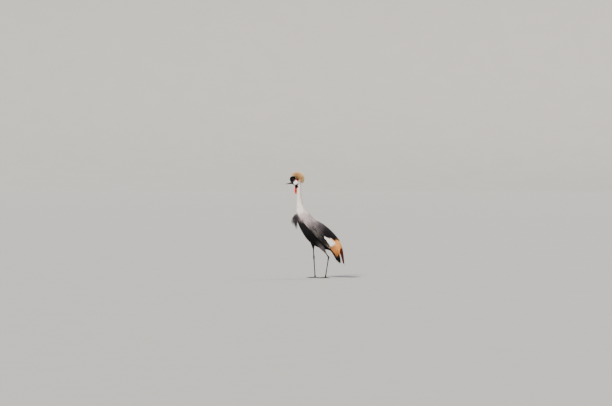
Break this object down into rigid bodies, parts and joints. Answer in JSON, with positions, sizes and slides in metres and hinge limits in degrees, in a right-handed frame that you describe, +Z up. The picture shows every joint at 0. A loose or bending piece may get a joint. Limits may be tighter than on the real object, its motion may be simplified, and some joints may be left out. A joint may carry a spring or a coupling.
{
  "type": "grey crowned crane",
  "caption": "Life-size standing grey crowned crane with a bristly golden crest, red throat wattle, folded wings of layered plumes and long thin legs, one a step behind the other.",
  "frame": {"origin": "on the floor, under the middle of the bird's box", "axes": "+Z up, -X the way the bird faces, -Y towards its left side"},
  "size_m": [0.5658, 0.2148, 1.045],
  "materials": {
    "cap_feathers": "black velvet feathers on the head, with bare white cheeks",
    "neck_feathers": "pale grey feathers, matt",
    "body_feathers": "charcoal and slate feathers, matt",
    "wing_feathers": "grey, white, gold, chestnut and black feathers in tiers",
    "tail_feathers": "black feathers, slight sheen",
    "crest_bristles": "straw gold bristles with dark tips",
    "wattle_skin": "bare red skin",
    "bill_horn": "dark grey horn, satin",
    "eyes": "pale grey-blue eye, glossy",
    "leg_scales": "black scaly skin, satin",
    "claw_horn": "black horn"
  },
  "bodies": {
    "root": {"head": "cap_feathers", "bill_upper": "bill_horn", "bill_lower": "bill_horn", "eye_l": "eyes", "eye_r": "eyes", "crest": "crest_bristles", "wattle": "wattle_skin", "neck_upper": "neck_feathers", "neck_lower": "neck_feathers", "torso": "body_feathers", "wing_l": "wing_feathers", "wing_r": "wing_feathers", "tail": "tail_feathers", "thigh_l": "body_feathers", "shank_l": "leg_scales", "tarsus_l": "leg_scales", "foot_l": "leg_scales", "claw_l_middle": "claw_horn", "claw_l_outer": "claw_horn", "claw_l_inner": "claw_horn", "claw_l_hind": "claw_horn", "thigh_r": "body_feathers", "shank_r": "leg_scales", "tarsus_r": "leg_scales", "foot_r": "leg_scales", "claw_r_middle": "claw_horn", "claw_r_outer": "claw_horn", "claw_r_inner": "claw_horn", "claw_r_hind": "claw_horn"}
  },
  "joints": []
}
